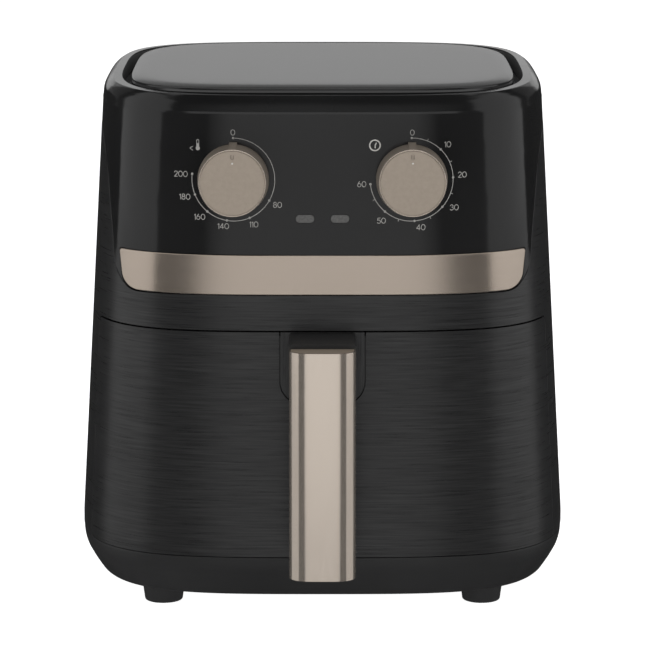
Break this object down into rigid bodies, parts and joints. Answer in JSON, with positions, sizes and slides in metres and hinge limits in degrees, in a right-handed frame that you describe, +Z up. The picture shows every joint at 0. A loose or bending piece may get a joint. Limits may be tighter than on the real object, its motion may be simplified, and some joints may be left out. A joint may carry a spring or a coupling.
{
  "type": "air fryer",
  "caption": "Single-drawer countertop air fryer: rounded black body, pull-out pan with a front handle, turning temperature and timer dials, and a hot-air fan over a ring heater.",
  "frame": {"origin": "centre of the bounding box on the plane the feet stand on", "axes": "+Z up, the front with the handle faces -Y, +X to the right as seen from the front"},
  "size_m": [0.2822, 0.3563, 0.3005],
  "materials": {
    "satin_black": "satin black moulded plastic with a fine horizontal brushed texture",
    "gloss_black": "glossy black plastic",
    "lid_black": "satin black plastic",
    "base_black": "matte black plastic",
    "champagne_metal": "satin champagne anodised metal",
    "lamp_grey": "grey translucent plastic",
    "rubber_black": "matte rubber",
    "silicone": "silicone rubber",
    "steel": "plain steel",
    "chamber_metal": "bright sheet metal",
    "nonstick": "dark non-stick coating on sheet steel",
    "electric_white": "pale electrical plastic",
    "board_green": "circuit board"
  },
  "bodies": {
    "housing": {"main_housing": "satin_black", "upper_shell": "gloss_black", "trim_band": "champagne_metal", "indicator_lenses": "lamp_grey", "lamp_board": "board_green", "top_cover": "lid_black", "vent_grille": "base_black", "base": "base_black", "feet": "rubber_black", "foot_screws": "steel", "base_screws": "steel", "cord_gland": "rubber_black", "rear_outlet_grille": "base_black", "outlet_duct": "chamber_metal", "chamber_liner": "chamber_metal", "drawer_rails": "chamber_metal", "heating_element": "steel", "heater_supports": "steel", "heater_guard": "steel", "motor_bracket": "steel", "fan_motor": "steel", "motor_screws": "steel", "thermostat": "electric_white", "timer": "electric_white", "timer_bell": "steel", "thermal_fuse": "electric_white", "terminal_block": "electric_white", "drawer_switch": "base_black"},
    "fan": {"motor_shaft": "steel", "hot_air_fan": "chamber_metal", "fan_nut": "steel", "cooling_fan": "base_black"},
    "temperature_dial": {"temperature_knob": "champagne_metal", "temperature_knob_cap": "champagne_metal", "thermostat_shaft": "steel"},
    "timer_dial": {"timer_knob": "champagne_metal", "timer_knob_cap": "champagne_metal", "timer_shaft": "steel"},
    "drawer": {"drawer_front": "satin_black", "handle_escutcheon": "base_black", "drawer_carrier": "base_black", "carrier_screws": "steel", "pan": "nonstick", "pan_screws": "steel", "handle_body": "base_black", "handle_screws": "steel", "handle_cover": "champagne_metal"},
    "crisper": {"crisper_plate": "nonstick", "plate_bumpers": "silicone"},
    "plunger": {"switch_plunger": "electric_white"}
  },
  "joints": [
    {"name": "drawer_slide", "type": "slide", "parent": "housing", "child": "drawer", "axis": [0, -1, 0], "range_m": [0, 0.26]},
    {"name": "crisper_plate_lift", "type": "slide", "parent": "drawer", "child": "crisper", "axis": [0, 0, 1], "range_m": [0, 0.085]},
    {"name": "temperature_knob_turn", "type": "hinge", "parent": "housing", "child": "temperature_dial", "pos_m": [-0.0494, -0.11669, 0.2508], "axis": [0, 0.9988, -0.0493], "range_deg": [0, 277]},
    {"name": "timer_knob_turn", "type": "hinge", "parent": "housing", "child": "timer_dial", "pos_m": [0.0494, -0.11669, 0.2508], "axis": [0, 0.9988, -0.0493], "range_deg": [0, 264]},
    {"name": "fan_spin", "type": "hinge", "parent": "housing", "child": "fan", "pos_m": [0, 0.01813, 0.215], "axis": [0, 0, 1], "continuous": true},
    {"name": "drawer_switch_press", "type": "slide", "parent": "housing", "child": "plunger", "axis": [0, 1, 0], "range_m": [0, 0.0015], "stiffness_N_per_m": 300}
  ]
}
